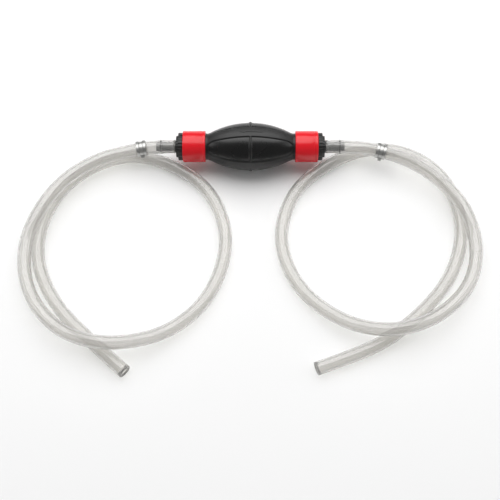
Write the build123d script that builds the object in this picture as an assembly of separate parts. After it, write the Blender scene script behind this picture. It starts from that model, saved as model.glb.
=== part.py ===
from build123d import *
from math import pi, radians, sqrt, tan
import os

# Hand-primed siphon: a rubber squeeze bulb with a check valve and a barbed fitting at each end,
# and a clear hose on each fitting. Water goes in at +X (inlet) and out at -X (outlet).
# The origin is on the surface that it lies on, under the middle of the bulb. Millimetres.

# Driving dimensions
bulb_radius = 24.3  # over the raised bands
bulb_wall = 2.6
body_half_length = 42.6  # from the middle to where the body meets a neck
neck_radius = 13.0
neck_end = 65.5
collar_radius = 15.5
collar_start = 44.5
collar_end = 67.1
spigot_radius = 9.1
spigot_start = 47.0
chamber_radius = 7.2  # the valve's room inside the spigot
chamber_end = 66.0
flange_radius = 13.6  # the first and widest of the three steps outside the collar
step_radius = 10.4
foot_radius = 6.2
stem_radius = 4.5
stem_end = 93.5
stem_bore = 3.0
bead_radius = 5.6
bead_place = 89.0
hose_radius = 6.5
hose_bore = 5.0
hose_start = 75.0
static_gap = 0.05  # radial gap between fixed round parts that touch
running_gap = 0.05  # radial gap between the poppet's stem and its guide

axis_height = bulb_radius
cartridge_shift = -114.5  # from the inlet's valve to the outlet's, which points the same way

# The part of the bulb's wall that the palm presses in: an oval dome cut out of the top
dome_half_length = 31.0
dome_half_width = 15.5
dome_gap = 0.3

clip_width = 9.5
clip_radius = 6.75
clip_thickness = 0.7
clip_window = 80.0  # half the angle between the ears, degrees
clip_turn = 30.0  # the middle of that angle, from straight up towards -Y, degrees
prong_ear_radius = 8.7
tongue_ear_radius = 10.2
inlet_clip_place = 56.0  # along the hose from its start
outlet_clip_place = 33.5

# The hoses' routes: out of the fitting, round one loop on the surface, over the hose's own
# second strand and down again, then on to the open end.
lying = hose_radius
outlet_route = [
    (-hose_start, 0, axis_height),
    (-95, 0, axis_height),
    (-119, -3, 21.5),
    (-153, -12, 20.5),
    (-185, -35, 20.5),
    (-207, -69, 21.5),
    (-220, -107, 14.5),
    (-212, -152, 13),
    (-183, -188, 18.5),
    (-148, -203, 21),
    (-112, -203, 19.5),
    (-76, -189, 9.5),
    (-44, -161, lying),
    (-26, -122, lying),
    (-23, -81, lying),
    (-41, -38, lying),
    (-77, -11, lying),
    (-117, 1, lying),
    (-157, -10, lying),
    (-190, -38, lying),
    (-208, -80, lying),
    (-206, -123, lying),
    (-184, -164, lying),
    (-149, -198, lying),
    (-116, -227, lying),
]
inlet_route = [
    (hose_start, 0, axis_height),
    (95, 0, axis_height),
    (122, -1, 21.5),
    (157, -12, 20.5),
    (188, -35, 20.5),
    (210, -66, 21.5),
    (220, -104, 14.5),
    (211, -142, 13),
    (183, -173, 18.5),
    (147, -190, 21),
    (111, -190, 19),
    (78, -174, 10),
    (48, -147, lying),
    (31, -111, lying),
    (30, -75, lying),
    (46, -36, lying),
    (80, -8, lying),
    (118, 8, lying),
    (158, 4, lying),
    (191, -20, lying),
    (207, -57, lying),
    (207, -97, lying),
    (191, -137, lying),
    (162, -170, lying),
    (128, -197, lying),
    (95, -212, lying),
    (61, -224, lying),
]


def turned(points):
    """A round solid about X from the half outline's (x, radius) points."""
    return revolve(make_face(Polyline(*points, close=True)), Axis.X)


def at_axis(shape):
    return Pos(0, 0, axis_height) * shape


def write(shape, node):
    """One STEP file for each node, with its solid alone."""
    solid = shape.solid()
    solid.label = node
    export_step(solid, f"parts/{node}.step")


# --- squeeze bulb ---


def bulb_shell():
    """The whole bulb: a body whose outline is one arc, with a plain neck at each end."""
    neck_bore = spigot_radius + static_gap
    drop = bulb_radius - neck_radius
    outline_radius = (body_half_length**2 + drop**2) / (2 * drop)
    inner_radius = outline_radius - bulb_wall
    centre = bulb_radius - outline_radius
    inner_half = sqrt(inner_radius**2 - (neck_bore - centre) ** 2)
    edges = [
        ThreePointArc(
            (-body_half_length, neck_radius), (0, bulb_radius), (body_half_length, neck_radius)
        ),
        Polyline(
            (body_half_length, neck_radius),
            (neck_end, neck_radius),
            (neck_end, neck_bore),
            (inner_half, neck_bore),
        ),
        ThreePointArc(
            (inner_half, neck_bore), (0, bulb_radius - bulb_wall), (-inner_half, neck_bore)
        ),
        Polyline(
            (-inner_half, neck_bore),
            (-neck_end, neck_bore),
            (-neck_end, neck_radius),
            (-body_half_length, neck_radius),
        ),
    ]
    return revolve(make_face(edges), Axis.X)


def dome_cutter(half_length, half_width):
    """An upright oval prism over the bulb's top."""
    return extrude(Ellipse(half_length, half_width), bulb_radius + 1)


def squeeze_bulb():
    shell = bulb_shell() - dome_cutter(dome_half_length, dome_half_width)
    return at_axis(shell)


def bulb_upper_wall():
    cutter = dome_cutter(dome_half_length - dome_gap, dome_half_width - dome_gap)
    return at_axis(bulb_shell() & cutter)


# --- end fittings and collars, drawn for the inlet end ---


def collar():
    """A sleeve over the neck, closed by a web that the flange bears on."""
    sleeve_bore = neck_radius + static_gap
    web_bore = spigot_radius + static_gap
    web_face = neck_end + 0.1
    rounding = 1.2
    sleeve = turned(
        [
            (collar_start, sleeve_bore),
            (collar_start, collar_radius),
            (collar_end, collar_radius),
            (collar_end, web_bore),
            (web_face, web_bore),
            (web_face, sleeve_bore),
        ]
    )
    rims = sleeve.edges().filter_by(GeomType.CIRCLE)
    outer = [rim for rim in rims if abs(rim.radius - collar_radius) < 0.01]
    return fillet(outer, rounding)


def fitting():
    """A ribbed spigot in the neck, a stepped flange outside the collar, and a beaded stem."""
    flange_end = 71.5
    step_end = 73.7
    foot_end = 74.8
    bevel = 0.5
    rib_rise = 0.35  # pressed into the neck
    rib_length = 2.0
    ribs = [
        point
        for crest in (53.0, 59.0)
        for point in (
            (crest - rib_length, spigot_radius),
            (crest, spigot_radius + rib_rise),
            (crest + 0.2, spigot_radius),
        )
    ]
    outline = [
        (spigot_start, chamber_radius),
        (spigot_start, spigot_radius - bevel),
        (spigot_start + bevel, spigot_radius),
        *ribs,
        (collar_end, spigot_radius),
        (collar_end, flange_radius - bevel),
        (collar_end + bevel, flange_radius),
        (flange_end - bevel, flange_radius),
        (flange_end, flange_radius - bevel),
        (flange_end, step_radius),
        (step_end - bevel / 2, step_radius),
        (step_end, step_radius - bevel / 2),
        (step_end, foot_radius),
        (foot_end, foot_radius),
        (foot_end, stem_radius),
        (bead_place - 1.3, stem_radius),
        (bead_place - 0.5, bead_radius),
        (bead_place + 0.3, bead_radius),
        (bead_place + 2.2, stem_radius),
        (stem_end - bevel, stem_radius),
        (stem_end, stem_radius - bevel),
        (stem_end, stem_bore),
        (chamber_end, stem_bore),
        (chamber_end, chamber_radius),
    ]
    return turned(outline)


# --- check valve, drawn for the inlet end: the poppet lifts towards -X ---

seat_face = 60.7
disc_back = 58.5
disc_front = 59.7
disc_radius = 5.6
seal_radius = 5.3
hub_radius = 1.5
poppet_stem = 1.2
guide_face = 51.0
guide_end = 48.5
insert_radius = chamber_radius - static_gap


def valve_seat():
    """A bored disc with a raised rim that the seal closes on."""
    seat_bore = 3.6
    rim_width = 0.8
    rim_height = 0.8
    return turned(
        [
            (seat_face, seat_bore),
            (seat_face, seat_bore + rim_width),
            (seat_face + rim_height, seat_bore + 1.5 * rim_width),
            (seat_face + rim_height, insert_radius),
            (chamber_end, insert_radius),
            (chamber_end, seat_bore),
        ]
    )


def valve_poppet():
    """A disc with a guide stem behind it and a nose that the seal snaps over."""
    stem_tip = guide_face - 0.7
    bevel = 0.3
    nose_tip = seat_face + 1.4
    nose_radius = 0.8
    return turned(
        [
            (stem_tip, 0),
            (stem_tip, poppet_stem - bevel),
            (stem_tip + bevel, poppet_stem),
            (disc_back, poppet_stem),
            (disc_back, disc_radius),
            (disc_front, disc_radius),
            (disc_front, hub_radius),
            (seat_face, hub_radius),
            (seat_face, hub_radius + nose_radius),
            (nose_tip, nose_radius),
            (nose_tip, 0),
        ]
    )


def valve_seal():
    face = seat_face - 0.02
    bevel = 0.2
    return turned(
        [
            (disc_front, hub_radius),
            (disc_front, seal_radius),
            (face - bevel, seal_radius),
            (face, seal_radius - bevel),
            (face, hub_radius),
        ]
    )


def valve_guide():
    """A ring and a hub joined by three arms, with the poppet's stem running in the hub."""
    hub = Circle(2.6)
    rim = Circle(insert_radius) - Circle(insert_radius - 1.3)
    arm = Pos(4.2, 0) * Rectangle(4.4, 1.6)
    arms = [Rot(0, 0, turn) * arm for turn in (0, 120, 240)]
    outline = rim + hub + arms - Circle(poppet_stem + running_gap)
    spider = extrude(outline, guide_face - guide_end)
    return Pos(guide_end, 0, 0) * Rot(0, 90, 0) * spider


def valve_spring():
    wire_radius = 0.3
    coil_radius = 3.6
    turns = 5
    clearance = wire_radius + 0.05
    height = disc_back - guide_face - 2 * clearance
    helix = Helix(pitch=height / turns, height=height, radius=coil_radius)
    section = Plane(origin=helix @ 0, z_dir=helix % 0) * Circle(wire_radius)
    wire = sweep(section, path=helix, is_frenet=True)
    return Pos(guide_face + clearance, 0, 0) * Rot(0, 90, 0) * wire


# --- hoses and their clips ---


def corner_radii(points):
    """The tangent arc's radius at each inner point: 0.45 of the shorter run, over the half turn."""
    radii = []
    for before, here, after in zip(points, points[1:], points[2:]):
        back = Vector(here) - Vector(before)
        ahead = Vector(after) - Vector(here)
        half_turn = radians(back.get_angle(ahead)) / 2
        radii.append(0.45 * min(back.length, ahead.length) / tan(half_turn))
    return radii


def hose_path(route):
    return FilletPolyline(*route, radius=corner_radii(route))


def tube(path, name):
    """A hollow tube along the path, with its volume compared with section times length."""
    section = Plane(origin=path @ 0, z_dir=path % 0)
    solid = sweep(section * Circle(hose_radius), path=path)
    solid -= sweep(section * Circle(hose_bore), path=path)
    expected = pi * (hose_radius**2 - hose_bore**2) * path.length
    print(f"{name}: {path.length:.1f} mm long, volume is {solid.volume / expected:.4f} of expected")
    return solid


def hose(route, name):
    """The hose as two solids that meet face to face: all its bends, and the straight open end."""
    print(f"{name} radii: " + " ".join(f"{r:.0f}" for r in corner_radii(route)))
    *bends, last_run = hose_path(route).edges()
    return tube(Wire(bends), name), tube(last_run, name + "_end")


def clip(path, place):
    """A spring band: a tongue runs out between two prongs, and each of the three ends in an ear."""
    prong_width = 2.7
    tongue_width = 3.3
    slit = (clip_width - tongue_width) / 2 - prong_width
    ear_inset = 5  # from the window's edge to an ear, degrees
    ear_thickness = 0.8

    def wedge(start, stop):
        reach = 3 * clip_radius
        rim = [Vector(reach, 0).rotate(Axis.Z, a) for a in (start, (start + stop) / 2, stop)]
        return make_face(Polyline((0, 0), *rim, close=True))

    def slab(offset, width, gap, ear_angle=0, ear_radius=0):
        outline = Circle(clip_radius + clip_thickness) - Circle(clip_radius) - wedge(*gap)
        if ear_radius:
            ear_height = ear_radius - clip_radius
            ear = Pos(clip_radius + ear_height / 2, 0) * Rectangle(ear_height, ear_thickness)
            outline += Rot(0, 0, ear_angle) * ear
        return Pos(0, 0, offset - width / 2) * extrude(outline, width)

    tongue_end = clip_window - ear_inset
    band = slab(0, tongue_width, (tongue_end, clip_window), tongue_end, tongue_ear_radius)
    for side in (-1, 1):
        band += slab(side * (tongue_width + slit) / 2, slit, (-clip_window, clip_window))
        prong_offset = side * (clip_width - prong_width) / 2
        prong_gap = (-clip_window, -tongue_end)
        band += slab(prong_offset, prong_width, prong_gap, -tongue_end, prong_ear_radius)
    share = place / path.length
    eastward = path % share
    if eastward.X < 0:
        eastward = -eastward
    up = Vector(0, 0, 1) - eastward * eastward.Z
    seat = Plane(origin=path @ share, x_dir=up, z_dir=eastward).location
    return seat * Rot(0, 0, clip_turn) * band


# --- the whole assembly ---

os.makedirs("parts", exist_ok=True)

write(squeeze_bulb(), "squeeze_bulb")
write(bulb_upper_wall(), "bulb_upper_wall")

mirror_ends = {"inlet": lambda shape: shape, "outlet": lambda shape: mirror(shape, Plane.YZ)}
for end, placed in mirror_ends.items():
    write(at_axis(placed(collar())), f"{end}_collar")
    write(at_axis(placed(fitting())), f"{end}_fitting")

valve_parts = {
    "valve_seat": valve_seat,
    "valve_poppet": valve_poppet,
    "valve_seal": valve_seal,
    "valve_guide": valve_guide,
    "valve_spring": valve_spring,
}
for name, make in valve_parts.items():
    write(at_axis(make()), f"inlet_{name}")
    write(at_axis(Pos(cartridge_shift, 0, 0) * make()), f"outlet_{name}")

for end, route, place in (
    ("inlet", inlet_route, inlet_clip_place),
    ("outlet", outlet_route, outlet_clip_place),
):
    main, open_end = hose(route, f"{end}_hose")
    write(main, f"{end}_hose")
    write(open_end, f"{end}_hose_end")
    write(clip(hose_path(route), place), f"{end}_hose_clip")
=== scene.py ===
from math import atan2, cos, degrees, exp, hypot, pi, radians, sin, sqrt
import bmesh
import bpy
from mathutils import Matrix, Vector


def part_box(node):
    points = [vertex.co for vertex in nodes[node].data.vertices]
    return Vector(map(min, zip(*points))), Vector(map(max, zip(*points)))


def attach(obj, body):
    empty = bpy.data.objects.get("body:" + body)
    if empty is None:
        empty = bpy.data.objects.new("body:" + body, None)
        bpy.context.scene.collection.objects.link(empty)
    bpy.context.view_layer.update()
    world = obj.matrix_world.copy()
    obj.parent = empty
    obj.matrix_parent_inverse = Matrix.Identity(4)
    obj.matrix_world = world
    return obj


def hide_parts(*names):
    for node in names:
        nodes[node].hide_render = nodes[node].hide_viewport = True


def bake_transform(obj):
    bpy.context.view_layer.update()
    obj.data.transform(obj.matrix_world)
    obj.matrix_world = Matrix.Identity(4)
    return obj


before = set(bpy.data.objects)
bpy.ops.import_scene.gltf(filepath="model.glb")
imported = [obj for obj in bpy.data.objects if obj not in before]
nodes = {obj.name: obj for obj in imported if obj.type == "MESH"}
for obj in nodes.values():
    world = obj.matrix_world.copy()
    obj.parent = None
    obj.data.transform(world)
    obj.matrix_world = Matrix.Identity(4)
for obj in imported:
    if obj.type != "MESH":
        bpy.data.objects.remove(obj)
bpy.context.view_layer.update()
mm = 0.001
ends = ("inlet", "outlet")

collarLow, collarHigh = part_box("inlet_collar")
axisHeight = (collarLow.z + collarHigh.z) / 2
onAxis = Matrix.Translation((0, 0, axisHeight))

cameraSettings = {"lens": 72, "place": (-0.0004, -0.4846, 0.9021), "tilt": radians(23)}

cameraData = bpy.data.cameras.new("camera")
cameraData.lens = cameraSettings["lens"]
cameraData.sensor_width = 36
camera = bpy.data.objects.new("camera", cameraData)
camera.location = cameraSettings["place"]
camera.rotation_euler = (cameraSettings["tilt"], 0, 0)
bpy.context.scene.collection.objects.link(camera)
bpy.context.scene.camera = camera


def linear(hexColour):
    parts = [int(hexColour[i : i + 2], 16) / 255 for i in (0, 2, 4)]
    parts = [p / 12.92 if p <= 0.04045 else ((p + 0.055) / 1.055) ** 2.4 for p in parts]
    return (*parts, 1)


def addNode(tree, kind, settings, links=None):
    # a name or number of an input sets that input, and anything else is the node's own setting
    node = tree.nodes.new(kind)
    for key, value in settings.items():
        if isinstance(key, int) or key in node.inputs:
            node.inputs[key].default_value = value
        else:
            setattr(node, key, value)
    for key, source in (links or {}).items():
        tree.links.new(source, node.inputs[key])
    return node


def newMaterial(name):
    material = bpy.data.materials.new(name)
    material.use_nodes = True
    tree = material.node_tree
    tree.nodes.clear()
    return material, tree


def finishObject(bm, name, material, smooth=True):
    mesh = bpy.data.meshes.new(name)
    bm.to_mesh(mesh)
    bm.free()
    for polygon in mesh.polygons:
        polygon.use_smooth = smooth
    piece = bpy.data.objects.new(name, mesh)
    bpy.context.scene.collection.objects.link(piece)
    mesh.materials.append(material)
    return piece


def smoothStep(value):
    value = min(max(value, 0), 1)
    return value * value * (3 - 2 * value)


def edgesSharperThan(bm, angle):
    return [e for e in bm.edges if len(e.link_faces) == 2 and e.calc_face_angle(0) > angle]


def spunOutline(outline, steps, closed=True):
    # outline is (x, radius) pairs in mm, spun right round the X axis
    bm = bmesh.new()
    verts = [bm.verts.new((x * mm, 0, radius * mm)) for x, radius in outline]
    pairs = list(zip(verts, verts[1:])) + ([(verts[-1], verts[0])] if closed else [])
    edges = [bm.edges.new(pair) for pair in pairs]
    bmesh.ops.spin(
        bm,
        geom=verts + edges,
        cent=(0, 0, 0),
        axis=(1, 0, 0),
        angle=2 * pi,
        steps=steps,
        use_merge=True,
    )
    bmesh.ops.remove_doubles(bm, verts=bm.verts, dist=0.001 * mm)
    bmesh.ops.recalc_face_normals(bm, faces=bm.faces)
    return bm


def mouldedRubber():
    # nitrile rubber, compression moulded: blasted bands stay satin, the polished panels shine
    material, tree = newMaterial("mouldedNitrileRubber")
    place = addNode(tree, "ShaderNodeTexCoord", {}).outputs["Object"]
    panel = addNode(tree, "ShaderNodeAttribute", {"attribute_name": "polished"}).outputs["Fac"]
    grain = addNode(
        tree,
        "ShaderNodeTexNoise",
        {"Scale": 1 / (0.45 * mm), "Detail": 2, "Roughness": 0.6},
        {"Vector": place},
    ).outputs["Fac"]
    bloom = addNode(
        tree, "ShaderNodeTexNoise", {"Scale": 1 / (14 * mm), "Detail": 4}, {"Vector": place}
    ).outputs["Fac"]
    finish = addNode(
        tree, "ShaderNodeMapRange", {"To Min": 0.42, "To Max": 0.27}, {"Value": panel}
    ).outputs["Result"]
    cloudy = addNode(
        tree, "ShaderNodeMapRange", {"To Min": -0.05, "To Max": 0.05}, {"Value": bloom}
    ).outputs["Result"]
    roughness = addNode(
        tree, "ShaderNodeMath", {"operation": "ADD"}, {0: finish, 1: cloudy}
    ).outputs["Value"]
    colour = addNode(
        tree,
        "ShaderNodeMix",
        {"data_type": "RGBA", 6: linear("040404"), 7: linear("080808")},
        {0: bloom},
    ).outputs[2]
    grainDepth = addNode(
        tree, "ShaderNodeMapRange", {"To Min": 0.5, "To Max": 0.05}, {"Value": panel}
    ).outputs["Result"]
    bump = addNode(
        tree,
        "ShaderNodeBump",
        {"Distance": 0.05 * mm},
        {"Height": grain, "Strength": grainDepth},
    ).outputs["Normal"]
    shader = addNode(
        tree,
        "ShaderNodeBsdfPrincipled",
        {"IOR": 1.52},
        {"Base Color": colour, "Roughness": roughness, "Normal": bump},
    )
    addNode(tree, "ShaderNodeOutputMaterial", {}, {"Surface": shader.outputs["BSDF"]})
    return material


def mouldedPlastic(name, settings):
    # an injection-moulded plastic: an even body colour, a fine mould texture and faint flow marks
    material, tree = newMaterial(name)
    place = addNode(tree, "ShaderNodeTexCoord", {}).outputs["Object"]
    grain = addNode(
        tree,
        "ShaderNodeTexNoise",
        {"Scale": 1 / (settings["grain"] * mm), "Detail": 3},
        {"Vector": place},
    ).outputs["Fac"]
    flow = addNode(
        tree,
        "ShaderNodeTexNoise",
        {"Scale": 1 / (settings["flow"] * mm), "Detail": 3, "Distortion": 0.6},
        {"Vector": place},
    ).outputs["Fac"]
    low, high = settings["roughness"]
    roughness = addNode(
        tree, "ShaderNodeMapRange", {"To Min": low, "To Max": high}, {"Value": flow}
    ).outputs["Result"]
    colour = addNode(
        tree,
        "ShaderNodeMix",
        {"data_type": "RGBA", 6: linear(settings["dark"]), 7: linear(settings["light"])},
        {0: flow},
    ).outputs[2]
    bump = addNode(
        tree,
        "ShaderNodeBump",
        {"Distance": settings["depth"] * mm, "Strength": 0.4},
        {"Height": grain},
    ).outputs["Normal"]
    shader = addNode(
        tree,
        "ShaderNodeBsdfPrincipled",
        {"IOR": settings["ior"]},
        {"Base Color": colour, "Roughness": roughness, "Normal": bump},
    )
    addNode(tree, "ShaderNodeOutputMaterial", {}, {"Surface": shader.outputs["BSDF"]})
    return material


def clearVinyl():
    # flexible PVC hose, extruded: clear with a slight milkiness, and faint lines along it
    material, tree = newMaterial("extrudedClearVinyl")
    aroundHose = addNode(
        tree, "ShaderNodeAttribute", {"attribute_name": "roundHose"}
    ).outputs["Vector"]
    stretched = addNode(
        tree, "ShaderNodeMapping", {"Scale": (1.2, 1.2, 0.8)}, {"Vector": aroundHose}
    ).outputs["Vector"]
    lines = addNode(
        tree, "ShaderNodeTexNoise", {"Scale": 3.0, "Detail": 4}, {"Vector": stretched}
    ).outputs["Fac"]
    roughness = addNode(
        tree, "ShaderNodeMapRange", {"To Min": 0.09, "To Max": 0.14}, {"Value": lines}
    ).outputs["Result"]
    bump = addNode(
        tree,
        "ShaderNodeBump",
        {"Distance": 0.05 * mm, "Strength": 0.25},
        {"Height": lines},
    ).outputs["Normal"]
    shader = addNode(
        tree,
        "ShaderNodeBsdfPrincipled",
        {"Base Color": linear("e4e3e1"), "IOR": 1.53, "Transmission Weight": 0.87},
        {"Roughness": roughness, "Normal": bump},
    )
    # lamps shine through it, so that its shadow stays light
    letThrough = addNode(tree, "ShaderNodeBsdfTransparent", {"Color": linear("f2f2f1")})
    shadow = addNode(tree, "ShaderNodeLightPath", {}).outputs["Is Shadow Ray"]
    mixed = addNode(
        tree,
        "ShaderNodeMixShader",
        {},
        {0: shadow, 1: shader.outputs["BSDF"], 2: letThrough.outputs["BSDF"]},
    )
    milky = addNode(
        tree, "ShaderNodeVolumeAbsorption", {"Color": linear("e6e4e0"), "Density": 25}
    )
    addNode(
        tree,
        "ShaderNodeOutputMaterial",
        {},
        {"Surface": mixed.outputs["Shader"], "Volume": milky.outputs["Volume"]},
    )
    return material


def metal(name, settings):
    # strip or wire drawn through a die: fine lines and a dulled shine
    material, tree = newMaterial(name)
    place = addNode(tree, "ShaderNodeTexCoord", {}).outputs["Object"]
    drawn = addNode(
        tree,
        "ShaderNodeTexNoise",
        {"Scale": 1 / (settings["grain"] * mm), "Detail": 4},
        {"Vector": place},
    ).outputs["Fac"]
    low, high = settings["roughness"]
    roughness = addNode(
        tree, "ShaderNodeMapRange", {"To Min": low, "To Max": high}, {"Value": drawn}
    ).outputs["Result"]
    colour = addNode(
        tree,
        "ShaderNodeMix",
        {"data_type": "RGBA", 6: linear(settings["dark"]), 7: linear(settings["light"])},
        {0: drawn},
    ).outputs[2]
    bump = addNode(
        tree, "ShaderNodeBump", {"Distance": 0.02 * mm, "Strength": 0.5}, {"Height": drawn}
    ).outputs["Normal"]
    shader = addNode(
        tree,
        "ShaderNodeBsdfPrincipled",
        {"Metallic": 1.0},
        {"Base Color": colour, "Roughness": roughness, "Normal": bump},
    )
    addNode(tree, "ShaderNodeOutputMaterial", {}, {"Surface": shader.outputs["BSDF"]})
    return material


rubber = mouldedRubber()
vinyl = clearVinyl()
redPolypropylene = mouldedPlastic(
    "mouldedRedPolypropylene",
    {
        "dark": "dc1220",
        "light": "e01422",
        "grain": 0.5,
        "flow": 22,
        "depth": 0.003,
        "roughness": (0.2, 0.24),
        "ior": 1.49,
    },
)
blackNylon = mouldedPlastic(
    "mouldedBlackNylon",
    {
        "dark": "0d0d0d",
        "light": "171716",
        "grain": 0.35,
        "flow": 5,
        "depth": 0.02,
        "roughness": (0.28, 0.42),
        "ior": 1.53,
    },
)
acetal = mouldedPlastic(
    "mouldedNaturalAcetal",
    {
        "dark": "dfdbcd",
        "light": "ece9df",
        "grain": 0.3,
        "flow": 4,
        "depth": 0.01,
        "roughness": (0.3, 0.45),
        "ior": 1.48,
    },
)
sealRubber = mouldedPlastic(
    "mouldedNitrileSeal",
    {
        "dark": "0f0f0f",
        "light": "1a1a1a",
        "grain": 0.25,
        "flow": 3,
        "depth": 0.02,
        "roughness": (0.55, 0.7),
        "ior": 1.52,
    },
)
springStrip = metal(
    "zincPlatedSpringSteel",
    {"dark": "a2a2a0", "light": "c9c9c7", "grain": 0.5, "roughness": (0.28, 0.45)},
)
springWire = metal(
    "drawnStainlessWire",
    {"dark": "a9a7a2", "light": "cfccc6", "grain": 0.15, "roughness": (0.18, 0.3)},
)
print("materials made")

hoseSettings = {
    "radius": 6.5 * mm,
    "bore": 5.0 * mm,
    "aroundSteps": 44,
    "splineSteps": 20,
    # the hose is stretched over the stem's bead
    "beadPlace": 14.0 * mm,
    "beadWidth": 1.9 * mm,
    "beadSwell": 0.62 * mm,
    "mouthSwell": 0.12 * mm,
    "mouthWidth": 2 * mm,
}
lying = 6.5 * mm
routes = {
    "outlet": [
        (-0.075, 0, 0.0243),
        (-0.095, 0, 0.0243),
        (-0.119, -0.003, 0.0215),
        (-0.153, -0.012, 0.0205),
        (-0.185, -0.035, 0.0205),
        (-0.207, -0.069, 0.0215),
        (-0.220, -0.107, 0.0145),
        (-0.212, -0.152, 0.013),
        (-0.183, -0.188, 0.0185),
        (-0.148, -0.203, 0.021),
        (-0.112, -0.203, 0.0195),
        (-0.076, -0.189, 0.0095),
        (-0.044, -0.161, lying),
        (-0.026, -0.122, lying),
        (-0.023, -0.081, lying),
        (-0.041, -0.038, lying),
        (-0.077, -0.011, lying),
        (-0.117, 0.001, lying),
        (-0.157, -0.010, lying),
        (-0.190, -0.038, lying),
        (-0.208, -0.080, lying),
        (-0.206, -0.123, lying),
        (-0.184, -0.164, lying),
        (-0.149, -0.198, lying),
        (-0.116, -0.227, lying),
    ],
    "inlet": [
        (0.075, 0, 0.0243),
        (0.095, 0, 0.0243),
        (0.122, -0.001, 0.0215),
        (0.157, -0.012, 0.0205),
        (0.188, -0.035, 0.0205),
        (0.210, -0.066, 0.0215),
        (0.220, -0.104, 0.0145),
        (0.211, -0.142, 0.013),
        (0.183, -0.173, 0.0185),
        (0.147, -0.190, 0.021),
        (0.111, -0.190, 0.019),
        (0.078, -0.174, 0.010),
        (0.048, -0.147, lying),
        (0.031, -0.111, lying),
        (0.030, -0.075, lying),
        (0.046, -0.036, lying),
        (0.080, -0.008, lying),
        (0.118, 0.008, lying),
        (0.158, 0.004, lying),
        (0.191, -0.020, lying),
        (0.207, -0.057, lying),
        (0.207, -0.097, lying),
        (0.191, -0.137, lying),
        (0.162, -0.170, lying),
        (0.128, -0.197, lying),
        (0.095, -0.212, lying),
        (0.061, -0.224, lying),
    ],
}


def splineMesh(route, radius=0):
    # the route's own smooth line, or with a radius a round tube wall on it, ring by ring
    curve = bpy.data.curves.new("route", "CURVE")
    curve.dimensions = "3D"
    curve.resolution_u = hoseSettings["splineSteps"]
    curve.twist_mode = "Z_UP"
    spline = curve.splines.new("NURBS")
    spline.points.add(len(route) - 1)
    for point, place in zip(spline.points, route):
        point.co = (*place, 1)
    spline.order_u = 3
    spline.use_endpoint_u = True
    if radius:
        curve.bevel_depth = radius
        curve.bevel_resolution = (hoseSettings["aroundSteps"] - 4) // 2
    guide = bpy.data.objects.new("route", curve)
    mesh = bpy.data.meshes.new_from_object(guide)
    bpy.data.objects.remove(guide)
    return mesh


def lineStations(places):
    # each point with its distance from the start and a frame on it: X up, Z along the hose
    stations = []
    distance = 0
    for index, place in enumerate(places):
        before = places[max(index - 1, 0)]
        after = places[min(index + 1, len(places) - 1)]
        direction = (after - before).normalized()
        side = direction.cross(Vector((0, 0, 1))).normalized()
        up = side.cross(direction)
        if index:
            distance += (place - places[index - 1]).length
        turn = Matrix((up, side, direction)).transposed().to_4x4()
        stations.append((distance, Matrix.Translation(place) @ turn))
    return stations


def hoseSwell(distance):
    bead = exp(-(((distance - hoseSettings["beadPlace"]) / hoseSettings["beadWidth"]) ** 2))
    mouth = exp(-distance / hoseSettings["mouthWidth"])
    return bead * hoseSettings["beadSwell"] + mouth * hoseSettings["mouthSwell"]


def makeHose(end):
    line = splineMesh(routes[end])
    places = [vert.co.copy() for vert in line.vertices]
    stations = lineStations(places)
    sides = hoseSettings["aroundSteps"]
    bm = bmesh.new()
    roundHose = bm.verts.layers.float_vector.new("roundHose")
    rims = {"start": [], "far": []}
    for wallRadius in (hoseSettings["radius"], hoseSettings["bore"]):
        already, facesBefore = len(bm.verts), len(bm.faces)
        bm.from_mesh(splineMesh(routes[end], wallRadius))
        if wallRadius == hoseSettings["bore"]:
            bm.faces.ensure_lookup_table()
            bmesh.ops.reverse_faces(bm, faces=bm.faces[facesBefore:])
        bm.verts.ensure_lookup_table()
        bm.verts.index_update()
        for index, (distance, frameHere) in enumerate(stations):
            ring = bm.verts[already + index * sides : already + (index + 1) * sides]
            grow = 1 + hoseSwell(distance) / wallRadius
            toHere = frameHere.inverted()
            for vert in ring:
                local = toHere @ vert.co
                vert[roundHose] = (local.x / wallRadius, local.y / wallRadius, distance / 0.1)
                vert.co = places[index] + (vert.co - places[index]) * grow
        starting = set(bm.verts[already : already + sides])
        for edge in bm.edges:
            if edge.is_boundary and edge.verts[0].index >= already:
                rims["start" if edge.verts[0] in starting else "far"].append(edge)
    for rim in rims.values():
        bmesh.ops.bridge_loops(bm, edges=rim)
    bmesh.ops.recalc_face_normals(bm, faces=bm.faces)
    hose = finishObject(bm, f"{end}_clear_hose", vinyl)
    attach(hose, "root")
    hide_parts(f"{end}_hose", f"{end}_hose_end")
    return hose, places, stations


hoses = {end: makeHose(end) for end in ends}
print("hoses made")

bulbSettings = {
    "bandRadius": 24.3,
    "halfBody": 42.6,
    "neckRadius": 13.0,
    "neckEnd": 65.5,
    "wall": 2.6,
    "neckBore": 9.15,
    "turnSteps": 300,
    # four panels are polished and sunk between four satin bands
    "panelTurn": 36,  # the middle of the first panel, from straight up towards -Y
    "panelHalfAngle": 31,
    "panelTaper": 4,
    "taperStart": 37.5,
    "panelClosing": 12,
    "panelDepth": 0.75,
    "panelReach": 43.5,
    "panelFade": 3.0,
    "edgeWidth": 1.1,
    "grooveDepth": 0.32,
    "grooveWidth": 0.7,
    # a rib crosses each panel at the middle
    "ribHeight": 0.95,
    "ribHalfWidth": 1.75,
    "hairline": 0.12,
    "hairlinePlace": 3.2,  # mm outside the panel's edge
    "hairlineWidth": 0.35,
    # the mould's parting line runs along one band
    "seamTurn": -11.5,
    "seamDepth": 0.1,
    "seamWidth": 0.3,
}


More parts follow.
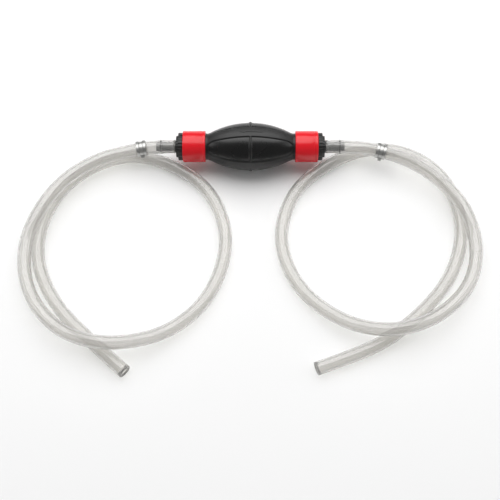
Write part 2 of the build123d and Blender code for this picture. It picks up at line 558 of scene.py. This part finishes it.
def outlineRadius(x):
    # the body's outline is one arc, and the necks are straight
    bulb = bulbSettings
    if abs(x) >= bulb["halfBody"]:
        return bulb["neckRadius"]
    drop = bulb["bandRadius"] - bulb["neckRadius"]
    arcRadius = (bulb["halfBody"] ** 2 + drop**2) / (2 * drop)
    return bulb["bandRadius"] - arcRadius + sqrt(arcRadius**2 - x**2)


def panelHalfAngle(x):
    bulb = bulbSettings
    narrowing = bulb["panelTaper"] * (x / bulb["taperStart"]) ** 2
    closing = bulb["panelClosing"] * max(0, (abs(x) - bulb["taperStart"]) / 5)
    return bulb["panelHalfAngle"] - narrowing - closing


def bulbSurface(x, turn):
    # (radius in mm, how polished) at x mm along and turn degrees from straight up towards -Y
    bulb = bulbSettings
    radius = outlineRadius(x)
    if abs(x) > bulb["halfBody"]:
        return radius, 0
    fromMiddle = abs((turn - bulb["panelTurn"] + 45) % 90 - 45)
    inside = radians(panelHalfAngle(x) - fromMiddle) * radius  # mm inside the panel's edge
    fade = smoothStep((bulb["panelReach"] - abs(x)) / bulb["panelFade"])
    panel = smoothStep(inside / bulb["edgeWidth"] + 0.5)
    groove = exp(-(((inside - 0.25) / bulb["grooveWidth"]) ** 2))
    hair = exp(-(((inside + bulb["hairlinePlace"]) / bulb["hairlineWidth"]) ** 2))
    sunk = bulb["panelDepth"] * panel + bulb["grooveDepth"] * groove + bulb["hairline"] * hair
    seam = exp(-((radians(turn - bulb["seamTurn"]) * radius / bulb["seamWidth"]) ** 2))
    radius -= sunk * fade + bulb["seamDepth"] * seam
    halfWidth = bulb["ribHalfWidth"] * (0.55 + 0.45 * smoothStep(inside / 9))
    rib = max(0, 1 - (x / halfWidth) ** 2) ** 0.6 * smoothStep(inside / 2.2 + 0.6)
    radius += bulb["ribHeight"] * rib
    return radius, panel * fade * (1 - rib)


def makeBulb():
    bulb = bulbSettings
    fine = [k * 0.35 for k in range(11)]
    coarse = [3.85 + k * 0.9 for k in range(1, 43)]
    half = fine + [x for x in coarse if x < bulb["halfBody"] - 0.3] + [bulb["halfBody"]]
    half += [bulb["halfBody"] + 0.8, 46.0, 52.0, 60.0, bulb["neckEnd"]]
    outside = [-x for x in reversed(half[1:])] + half
    outline = [(x, outlineRadius(x)) for x in outside]
    inside = [k * 3.0 for k in range(-13, 14)]
    innerWall = [(x, max(outlineRadius(x) - bulb["wall"], bulb["neckBore"])) for x in inside]
    outline += [(bulb["neckEnd"], bulb["neckBore"]), (45.0, bulb["neckBore"])]
    outline += reversed(innerWall)
    outline += [(-45.0, bulb["neckBore"]), (-bulb["neckEnd"], bulb["neckBore"])]
    bm = spunOutline(outline, bulb["turnSteps"])
    polished = bm.verts.layers.float.new("polished")
    for vert in bm.verts:
        x, y, z = vert.co / mm
        radius = hypot(y, z)
        if radius > outlineRadius(x) - 0.5:
            newRadius, vert[polished] = bulbSurface(x, degrees(atan2(-y, z)))
            vert.co.y *= newRadius / radius
            vert.co.z *= newRadius / radius
    bmesh.ops.transform(bm, matrix=onAxis, verts=bm.verts)
    piece = finishObject(bm, "squeeze_bulb_skin", rubber)
    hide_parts("squeeze_bulb", "bulb_upper_wall")
    return piece


bulbSkin = makeBulb()
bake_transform(bulbSkin)

arrowSettings = {
    "tail": 12.0,
    "tip": -10.5,
    "head": 5.0,
    "headHalfWidth": 1.7,
    "shaftHalfWidth": 0.7,
    "rise": 0.45,
    "sunk": 0.3,
    "turn": -9,
}


def makeArrow():
    # a raised arrow on one band shows which way the water goes
    arrow = arrowSettings
    neck = arrow["tip"] + arrow["head"]
    shaft = arrow["shaftHalfWidth"]
    corners = [(arrow["tip"], 0), (neck, -arrow["headHalfWidth"]), (neck, -shaft)]
    corners += [(arrow["tail"], -shaft), (arrow["tail"], shaft)]
    corners += [(neck, shaft), (neck, arrow["headHalfWidth"])]
    bm = bmesh.new()
    face = bm.faces.new([bm.verts.new((x, y, 0)) for x, y in corners])
    raised = bmesh.ops.extrude_face_region(bm, geom=[face])["geom"]
    top = [item for item in raised if isinstance(item, bmesh.types.BMVert)]
    bmesh.ops.translate(bm, vec=(0, 0, arrow["sunk"] + arrow["rise"]), verts=top)
    rims = [e for e in bm.edges if all(v.co.z > 0.1 for v in e.verts)]
    bmesh.ops.bevel(
        bm,
        geom=rims,
        offset=0.2,
        segments=3,
        profile=0.5,
        affect="EDGES",
        material=-1,
    )
    for k in range(int(arrow["tip"]) + 1, int(arrow["tail"])):
        bmesh.ops.bisect_plane(
            bm,
            geom=bm.verts[:] + bm.edges[:] + bm.faces[:],
            plane_co=(k, 0, 0),
            plane_no=(1, 0, 0),
        )
    bmesh.ops.recalc_face_normals(bm, faces=bm.faces)
    for vert in bm.verts:
        x, y, z = vert.co
        base = outlineRadius(x)
        turn = radians(arrow["turn"]) - y / base
        radius = base - arrow["sunk"] + z
        vert.co = (x * mm, -radius * sin(turn) * mm, radius * cos(turn) * mm)
    bmesh.ops.transform(bm, matrix=onAxis, verts=bm.verts)
    bmesh.ops.recalc_face_normals(bm, faces=bm.faces)
    return finishObject(bm, "flow_arrow", rubber)


flowArrow = makeArrow()
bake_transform(flowArrow)
print("bulb made")

collarSettings = {
    "start": 44.5,
    "end": 67.1,
    "radius": 15.5,
    "neckBore": 13.05,
    "webBore": 9.15,
    "webFace": 65.6,
    "lineFromEdge": 3.3,
    "lineDepth": 0.22,
    "rounding": 0.9,
    "steps": 128,
}


def makeCollar(end):
    collar = collarSettings
    start, stop, radius = collar["start"], collar["end"], collar["radius"]
    # the parting line lies towards the same side on both collars
    line = start + collar["lineFromEdge"] if end == "outlet" else stop - collar["lineFromEdge"]
    outline = [
        (start, collar["neckBore"]),
        (start, radius),
        (line - 0.25, radius),
        (line, radius - collar["lineDepth"]),
        (line + 0.25, radius),
        (stop, radius),
        (stop, collar["webBore"]),
        (collar["webFace"], collar["webBore"]),
        (collar["webFace"], collar["neckBore"]),
    ]
    bm = spunOutline(outline, collar["steps"])
    sharp = edgesSharperThan(bm, radians(60))
    rims = [e for e in sharp if hypot(*e.verts[0].co.yz) > (radius - 0.1) * mm]
    bmesh.ops.bevel(
        bm,
        geom=rims,
        offset=collar["rounding"] * mm,
        segments=5,
        profile=0.5,
        affect="EDGES",
        material=-1,
        clamp_overlap=True,
    )
    if end == "outlet":
        bmesh.ops.scale(bm, vec=(-1, 1, 1), verts=bm.verts)
    bmesh.ops.recalc_face_normals(bm, faces=bm.faces)
    bmesh.ops.transform(bm, matrix=onAxis, verts=bm.verts)
    piece = finishObject(bm, f"{end}_collar_moulding", redPolypropylene)
    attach(piece, "root")
    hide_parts(f"{end}_collar")
    return piece


for end in ends:
    makeCollar(end)
print("collars made")

fittingSettings = {
    "steps": 96,
    "spigot": 9.1,
    "spigotStart": 47.0,
    "chamber": 7.2,
    "chamberEnd": 66.0,
    "flangeStart": 67.1,
    "flange": (13.1, 71.5),  # each step's radius and where it ends
    "step": (10.1, 73.7),
    "foot": (6.2, 74.8),
    "stem": 4.5,
    "stemBore": 3.0,
    "stemEnd": 93.5,
    "bead": 5.65,
    "beadPlace": 89.0,
    "beadHalfWidth": 0.45,
    "tooth": 0.5,
    "rounding": 0.22,
}


def makeFitting(end):
    fit = fittingSettings
    stem, bead, half = fit["stem"], fit["beadPlace"], fit["beadHalfWidth"]
    outline = [
        (fit["spigotStart"], fit["chamber"]),
        (fit["spigotStart"], fit["spigot"]),
        (fit["flangeStart"], fit["spigot"]),
        (fit["flangeStart"], fit["flange"][0]),
        (fit["flange"][1], fit["flange"][0]),
        (fit["flange"][1], fit["step"][0]),
        (fit["step"][1], fit["step"][0]),
        (fit["step"][1], fit["foot"][0]),
        (fit["foot"][1], fit["foot"][0]),
        (fit["foot"][1], stem),
        (bead - half - 0.5, stem),
        (bead - half, fit["bead"]),
        (bead + half, fit["bead"]),
        (bead + half + 0.5, stem),
        (fit["stemEnd"], stem),
        (fit["stemEnd"], fit["stemBore"]),
        (fit["chamberEnd"], fit["stemBore"]),
        (fit["chamberEnd"], fit["chamber"]),
    ]
    bm = spunOutline(outline, fit["steps"])
    # grip teeth round the two wide steps
    for radius, stop in (fit["flange"], fit["step"]):
        teeth = []
        for face in bm.faces:
            middle = face.calc_center_median() / mm
            turn = degrees(atan2(middle.y, middle.z)) % 15
            onStep = abs(hypot(middle.y, middle.z) - radius) < 0.1 and middle.x < stop
            if onStep and turn < 9:
                teeth.append(face)
        raised = bmesh.ops.extrude_face_region(bm, geom=teeth)["geom"]
        bmesh.ops.delete(bm, geom=teeth, context="FACES")
        for item in raised:
            if isinstance(item, bmesh.types.BMVert):
                item.co.y *= 1 + fit["tooth"] / radius
                item.co.z *= 1 + fit["tooth"] / radius
    bmesh.ops.bevel(
        bm,
        geom=edgesSharperThan(bm, radians(40)),
        offset=fit["rounding"] * mm,
        segments=2,
        profile=0.5,
        affect="EDGES",
        material=-1,
        clamp_overlap=True,
    )
    if end == "outlet":
        bmesh.ops.scale(bm, vec=(-1, 1, 1), verts=bm.verts)
    bmesh.ops.recalc_face_normals(bm, faces=bm.faces)
    bmesh.ops.transform(bm, matrix=onAxis, verts=bm.verts)
    piece = finishObject(bm, f"{end}_barbed_fitting", blackNylon)
    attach(piece, "root")
    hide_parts(f"{end}_fitting")
    return piece


for end in ends:
    makeFitting(end)
print("fittings made")

clipSettings = {
    "places": {"inlet": 56.0, "outlet": 33.5},  # mm along the hose from its start
    "width": 9.5,
    "prong": 2.7,
    "tongue": 3.3,
    "radius": 6.6,
    "thickness": 0.7,
    "window": 80,
    "earAngle": 75,
    "turn": 30,  # the middle of the window, from straight up towards -Y
    "tongueEar": 3.1,
    "prongEar": 1.6,
    "hoseGap": 0.08,
}


def makeClip(end):
    clip = clipSettings
    stations = hoses[end][2]
    wanted = clip["places"][end] * mm
    frameHere = min(stations, key=lambda station: abs(station[0] - wanted))[1]
    half, tongue = clip["width"] / 2, clip["tongue"] / 2
    radius = clip["radius"] + clip["hoseGap"]
    across = [-half, clip["prong"] - half, -tongue, tongue, half - clip["prong"], half]
    bm = bmesh.new()

    def spinStrip(edges, angle, steps):
        verts = list({vert for edge in edges for vert in edge.verts})
        return bmesh.ops.spin(
            bm,
            geom=verts + edges,
            cent=(0, 0, 0),
            axis=(0, 0, 1),
            angle=radians(angle),
            steps=steps,
            use_merge=False,
        )["geom_last"]

    def onlyEdges(items):
        return [item for item in items if isinstance(item, bmesh.types.BMEdge)]

    def offsetOf(edge):
        return (edge.verts[0].co.z + edge.verts[1].co.z) / 2

    def raiseEar(edges, height):
        grown = bmesh.ops.extrude_edge_only(bm, edges=edges)["geom"]
        verts = [item for item in grown if isinstance(item, bmesh.types.BMVert)]
        grow = 1 + height / radius
        bmesh.ops.scale(bm, vec=(grow, grow, 1), verts=verts)

    # X is up, so the band starts at one side of the window and goes round under the hose
    start = Matrix.Rotation(radians(clip["window"]), 3, "Z") @ Vector((radius, 0, 0))
    verts = [bm.verts.new((start.x, start.y, z)) for z in across]
    edges = [bm.edges.new(pair) for pair in zip(verts, verts[1:])]
    first = list(edges)
    last = onlyEdges(spinStrip(edges, 360 - 2 * clip["window"], 48))
    reach = clip["window"] + clip["earAngle"]
    tongueEdges = [edge for edge in last if abs(offsetOf(edge)) < 0.1]
    raiseEar(onlyEdges(spinStrip(tongueEdges, reach, 26)), clip["tongueEar"])
    for side in (-1, 1):
        prongs = [edge for edge in first if side * offsetOf(edge) > clip["tongue"]]
        raiseEar(onlyEdges(spinStrip(prongs, -reach, 26)), clip["prongEar"])
    bmesh.ops.remove_doubles(bm, verts=bm.verts, dist=0.001)
    bmesh.ops.recalc_face_normals(bm, faces=bm.faces)
    outwards = sum(f.normal.dot(f.calc_center_median() * Vector((1, 1, 0))) for f in bm.faces)
    if outwards < 0:
        bmesh.ops.reverse_faces(bm, faces=bm.faces)
    bmesh.ops.solidify(bm, geom=bm.faces[:], thickness=-clip["thickness"])
    bmesh.ops.recalc_face_normals(bm, faces=bm.faces)
    bmesh.ops.bevel(
        bm,
        geom=edgesSharperThan(bm, radians(50)),
        offset=0.14,
        segments=2,
        profile=0.5,
        affect="EDGES",
        material=-1,
        clamp_overlap=True,
    )
    # the tongue's ear points the same way on both hoses, though they run opposite ways
    flip = Matrix.Rotation(pi if end == "outlet" else 0, 4, "X")
    turned = flip @ Matrix.Rotation(radians(clip["turn"]), 4, "Z")
    bmesh.ops.transform(bm, matrix=frameHere @ turned @ Matrix.Scale(mm, 4), verts=bm.verts)
    bmesh.ops.recalc_face_normals(bm, faces=bm.faces)
    piece = finishObject(bm, f"{end}_spring_clip", springStrip)
    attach(piece, "root")
    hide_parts(f"{end}_hose_clip")
    return piece


for end in ends:
    hose, places, stations = hoses[end]
    makeClip(end)
print("clips made")

valveMaterials = {
    "valve_seat": acetal,
    "valve_guide": acetal,
    "valve_poppet": acetal,
    "valve_seal": sealRubber,
}
for end in ends:
    for part, material in valveMaterials.items():
        nodes[f"{end}_{part}"].data.materials.clear()
        nodes[f"{end}_{part}"].data.materials.append(material)

springSettings = {"wire": 0.3, "coil": 3.6, "turns": 5, "steps": 24, "sides": 10}


def makeSpring(end):
    # a coil of round wire along the valve's axis, as long as the valve spring's box, starting at
    # its near end
    spring = springSettings
    low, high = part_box(f"{end}_valve_spring")
    length = (high.x - low.x) / mm - 2 * spring["wire"]
    bm = bmesh.new()
    circle = bmesh.ops.create_circle(
        bm,
        radius=spring["wire"] * mm,
        segments=spring["sides"],
        cap_ends=True,
        matrix=Matrix.Translation((0, 0, spring["coil"] * mm)) @ Matrix.Rotation(pi / 2, 4, "X"),
    )
    geom = circle["verts"] + bm.edges[:] + bm.faces[:]
    bmesh.ops.spin(
        bm,
        geom=geom,
        cent=(0, 0, 0),
        axis=(1, 0, 0),
        dvec=(length * mm / (spring["turns"] * spring["steps"]), 0, 0),
        angle=2 * pi * spring["turns"],
        steps=spring["turns"] * spring["steps"],
    )
    bmesh.ops.recalc_face_normals(bm, faces=bm.faces)
    move = Matrix.Translation((low.x + spring["wire"] * mm, 0, axisHeight))
    bmesh.ops.transform(bm, matrix=move, verts=bm.verts)
    piece = finishObject(bm, f"{end}_valve_coil_spring", springWire)
    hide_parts(f"{end}_valve_spring")
    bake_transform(piece)


for end in ends:
    makeSpring(end)
print("valves finished")

bm = bmesh.new()
bmesh.ops.create_grid(bm, x_segments=1, y_segments=1, size=4)
floorMaterial, floorTree = newMaterial("paintedBoard")
floorShader = addNode(
    floorTree,
    "ShaderNodeBsdfPrincipled",
    {"Base Color": linear("f2f2f2"), "Roughness": 0.85, "Specular IOR Level": 0.1},
)
addNode(floorTree, "ShaderNodeOutputMaterial", {}, {"Surface": floorShader.outputs["BSDF"]})
floorMesh = bpy.data.meshes.new("floor")
bm.to_mesh(floorMesh)
bm.free()
floorMesh.materials.append(floorMaterial)
floor = bpy.data.objects.new("floor", floorMesh)
bpy.context.scene.collection.objects.link(floor)


def softbox(name, place, target, size, power):
    lamp = bpy.data.lights.new(name, "AREA")
    lamp.shape = "RECTANGLE"
    lamp.size, lamp.size_y = size
    lamp.energy = power
    box = bpy.data.objects.new(name, lamp)
    box.location = place
    aim = Vector(target) - Vector(place)
    box.rotation_euler = aim.to_track_quat("-Z", "Y").to_euler()
    bpy.context.scene.collection.objects.link(box)


# each lamp's place, what it faces, its size in metres and its power in watts
studioSettings = {
    "keyLight": ((0, 0.75, 1.5), (0, -0.1, 0), (2.8, 1.9), 43),
    "leftLight": ((-1.5, 0.1, 0.7), (0, 0, 0), (0.9, 0.9), 4),
    "rightLight": ((1.5, 0.1, 0.7), (0, 0, 0), (0.9, 0.9), 4),
}
worldStrength = 0.25
for name, settings in studioSettings.items():
    softbox(name, *settings)

world = bpy.data.worlds.new("studio")
world.use_nodes = True
world.node_tree.nodes["Background"].inputs["Color"].default_value = (1, 1, 1, 1)
world.node_tree.nodes["Background"].inputs["Strength"].default_value = worldStrength
bpy.context.scene.world = world
bpy.context.scene.view_settings.view_transform = "Standard"
print("floor and light made")
